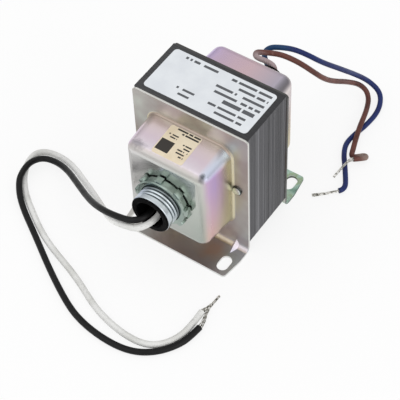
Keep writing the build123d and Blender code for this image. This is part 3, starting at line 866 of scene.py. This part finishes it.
moulded = [  # name, the two tones, roughness, gloss and the nodes it is on
    ("blackNylon", tone(8, 8, 9), tone(13, 13, 14), 0.5, 0.03, ("hub_bushing", "rear_bushing")),
    ("formerNylon", tone(222, 218, 206), tone(236, 233, 224), 0.5, 0.5, ("bobbin",)),
    ("windingTape", tone(206, 176, 84), tone(226, 198, 110), 0.42, 0.5, ("primary_tape", "secondary_tape")),
    ("spliceSleeve", tone(30, 30, 32), tone(48, 48, 50), 0.5, 0.5, ("primary_splices", "secondary_splices")),
]

magnetWire = [(0.1, tone(112, 58, 28)), (0.8, tone(196, 118, 64))]


def rivetMaterial():
    material, tree, shader, place = startMaterial("rivetZinc", 1.0, 0.3)
    inMm, (_, y, z) = inMillimetres(tree, place)
    aside = calc(tree, "SUBTRACT", calc(tree, "ABSOLUTE", y), rivet["sides"][1])
    clouds = grain(tree, inMm, scale=0.4, detail=3)
    # painted shade round the edge of the head
    onRim = fade(tree, fromAxis(tree, aside, z), *rivet["rimShadeFade"])
    feed(tree, shader, mixColors(tree, onRim, ramp(tree, clouds, rivet["plate"]), rivet["rim"]),
         spread(tree, clouds, 0.3, 0.7, 0.22, 0.32))
    return material


def addRivets():
    bm = bmesh.new()
    profile = [(-x, r) for x, r in reversed(rivet["half"])] + rivet["half"][1:]
    for y in rivet["sides"]:
        spinChain(bm, profile, (0.0, y * mm, hub["axis"][2]), rivet["steps"])
    closeUp(bm)
    showPiece("rivetHeads", finishMesh("rivetHeads", bm), rivetMaterial(), "rivet_steel", "core_rivets")


def mouldedMaterial(name, color, sheenColor, roughness, gloss):
    material, tree, shader, place = startMaterial(name, 0.0, roughness)
    shader.inputs["Specular IOR Level"].default_value = gloss
    mottled = grain(tree, place, scale=200, detail=3)
    feed(tree, shader, ramp(tree, mottled, [(0.3, color), (0.75, sheenColor)]),
         spread(tree, grain(tree, place, scale=90), 0.3, 0.7, roughness - 0.06, roughness + 0.08),
         grain(tree, place, scale=1500), strength=0.06, distance=0.04 * mm)
    return material


def wireMaterial():
    material, tree, shader, place = startMaterial("magnetWire", 0.85, 0.3)
    inputs = {"Vector": place, "Scale": 420.0, "Distortion": 0.4}
    turns = addNode(tree, "TexWave", inputs, bands_direction="Y").outputs["Fac"]
    feed(tree, shader, ramp(tree, turns, magnetWire), None, turns, strength=0.5, distance=0.2 * mm)
    return material


addRivets()
for *looks, nodes in moulded:
    dressNode(mouldedMaterial(*looks), *nodes)
dressNode(wireMaterial(), "primary_winding", "secondary_winding", "primary_tails", "secondary_tails")
print("small parts dressed")


# Labels: plain stock with generic rows of bars, in mm
stock = {
    "rating": {
        "paper": tone(226, 230, 234),
        "shade": tone(219, 223, 228),
        "ink": tone(74, 76, 80),
        "rows": [
            {"x": (-12.0, 0.2), "y": (-1.0, 27.0), "pitch": 3.5, "bar": 1.5, "word": 1.1},
            {"x": (1.6, 5.4), "y": (3.0, 26.0), "pitch": 3.8, "bar": 2.3, "word": 1.1},
            {"x": (6.2, 11.6), "y": (-2.0, 24.0), "pitch": 3.4, "bar": 1.4, "word": 1.1},
            {"x": (5.8, 10.9), "y": (-17.0, -4.5), "pitch": 3.2, "bar": 1.3, "word": 1.1},
            {"x": (-12.2, -9.4), "y": (-26.0, -3.0), "pitch": 3.4, "bar": 1.5, "word": 1.1},
        ],
    },
    "badge": {
        "paper": tone(232, 219, 194),
        "shade": tone(222, 206, 178),
        "ink": tone(14, 12, 18),
        "rows": [
            {"x": (19.5, 22.6), "y": (-8.0, 8.0), "pitch": 1.6, "bar": 0.95, "word": 0.55},
            {"x": (23.6, 26.6), "y": (-8.2, -1.6), "pitch": 1.5, "bar": 0.75, "word": 0.5},
            {"x": (26.2, 34.7), "y": (1.4, 7.4), "pitch": 1.7, "bar": 0.8, "word": 0.5},
        ],
        "block": {"x": (27.7, 34.5), "y": (-8.1, -1.0)},
    },
}

printing = {
    "gloss": 0.3,
    "gapShare": 0.16,  # of each row that is left blank
    "inkDepth": 0.96,
}


def barRows(tree, x, y, rows):
    # rows of inked words with ragged ends
    step = calc(tree, "DIVIDE", calc(tree, "SUBTRACT", x, rows["x"][0]), rows["pitch"])
    row = calc(tree, "FLOOR", step)
    inked = calc(tree, "LESS_THAN", calc(tree, "FRACT", step), rows["bar"] / rows["pitch"])
    column = calc(tree, "FLOOR", calc(tree, "DIVIDE", y, rows["word"]))
    cell = addNode(tree, "CombineXYZ", {0: column, 1: row}).outputs[0]
    gaps = addNode(tree, "TexWhiteNoise", {"Vector": cell}, noise_dimensions="2D").outputs["Value"]
    ragged = addNode(tree, "TexWhiteNoise", {"W": row}, noise_dimensions="1D").outputs["Value"]
    reach = spread(tree, ragged, 0.0, 1.0, sum(rows["y"]) / 2, rows["y"][0])
    words = calc(tree, "GREATER_THAN", gaps, printing["gapShare"])
    return times(tree, inked, words, within(tree, x, *rows["x"]), within(tree, y, reach, rows["y"][1]))


def paperMaterial(name, label):
    material, tree, shader, place = startMaterial(name, 0.0, 0.4)
    shader.inputs["Specular IOR Level"].default_value = printing["gloss"]
    inMm, (x, y, _) = inMillimetres(tree, place)
    fibres = grain(tree, inMm, scale=0.12, detail=4)
    marks = 0.0
    for rows in label["rows"]:
        marks = calc(tree, "MAXIMUM", marks, barRows(tree, x, y, rows))
    if "block" in label:
        block = times(tree, within(tree, x, *label["block"]["x"]), within(tree, y, *label["block"]["y"]))
        marks = calc(tree, "MAXIMUM", marks, block)
    paper = ramp(tree, fibres, [(0.35, label["shade"]), (0.65, label["paper"])])
    feed(tree, shader, mixColors(tree, times(tree, marks, printing["inkDepth"]), paper, label["ink"]),
         spread(tree, fibres, 0.3, 0.7, 0.34, 0.46))
    return material


dressNode(paperMaterial("ratingStock", stock["rating"]), "rating_label")
dressNode(paperMaterial("badgeStock", stock["badge"]), "approval_label")
print("labels stuck")


# Studio: a pale floor under a soft dome, with two large soft lights
studio = {
    "floorSize": 4.0,
    "floorDrop": 0.1 * mm,
    "floor": tone(246, 246, 246),
    "glow": 0.82,  # share of plain white the floor shows the lens
    "gloss": 0.68,  # and the metal
    "sky": (-0.1, 0.8, 0.5, 0.94),  # from and to which height, and how bright
    "aim": (0, 0, 0.04),
    "keyPlace": (1.35, -0.7, 1.15),
    "keySize": 1.9,
    "keyPower": 6.4,
    "fillPlace": (0.35, 1.6, 0.75),
    "fillSize": 1.5,
    "fillPower": 7.5,
}


def addFloor():
    bm = bmesh.new()
    bmesh.ops.create_grid(bm, x_segments=2, y_segments=2, size=studio["floorSize"] / 2)
    bmesh.ops.translate(bm, verts=bm.verts, vec=(0, 0, -studio["floorDrop"]))
    mesh = bpy.data.meshes.new("floor")
    bm.to_mesh(mesh)
    bm.free()
    material = bpy.data.materials.new("floorPaper")
    material.use_nodes = True
    tree = material.node_tree
    tree.nodes.clear()
    path = addNode(tree, "LightPath").outputs
    mirrored = calc(tree, "MAXIMUM", path["Is Glossy Ray"], path["Is Transmission Ray"])
    seen = calc(tree, "MAXIMUM", times(tree, path["Is Camera Ray"], studio["glow"]),
                times(tree, mirrored, studio["gloss"]))
    matte = addNode(tree, "BsdfDiffuse", {"Color": studio["floor"]}).outputs[0]
    white = addNode(tree, "Emission", {"Color": (1, 1, 1, 1), "Strength": 1.0}).outputs[0]
    shown = addNode(tree, "MixShader", {0: seen, 1: matte, 2: white}).outputs[0]
    addNode(tree, "OutputMaterial", {"Surface": shown})
    mesh.materials.append(material)
    floor = bpy.data.objects.new("floor", mesh)
    scene.collection.objects.link(floor)


def addLamp(name, place, size, power):
    data = bpy.data.lights.new(name, "AREA")
    data.shape = "SQUARE"
    data.size = size
    data.energy = power
    lamp = bpy.data.objects.new(name, data)
    lamp.location = place
    lamp.rotation_mode = "QUATERNION"
    lamp.rotation_quaternion = (Vector(studio["aim"]) - Vector(place)).to_track_quat("-Z", "Y")
    scene.collection.objects.link(lamp)


def addDome():
    world = bpy.data.worlds.new("dome")
    scene.world = world
    world.use_nodes = True
    tree = world.node_tree
    tree.nodes.clear()
    heading = addNode(tree, "TexCoord").outputs["Generated"]
    rise = addNode(tree, "SeparateXYZ", {"Vector": heading}).outputs["Z"]
    sky = spread(tree, rise, *studio["sky"])
    seen = addNode(tree, "LightPath").outputs["Is Camera Ray"]
    level = calc(tree, "MAXIMUM", sky, seen)
    glow = addNode(tree, "Background", {"Color": (1, 1, 1, 1), "Strength": level}).outputs[0]
    addNode(tree, "OutputWorld", {"Surface": glow})


addFloor()
addDome()
addLamp("key", studio["keyPlace"], studio["keySize"], studio["keyPower"])
addLamp("fill", studio["fillPlace"], studio["fillSize"], studio["fillPower"])
print("studio lit")
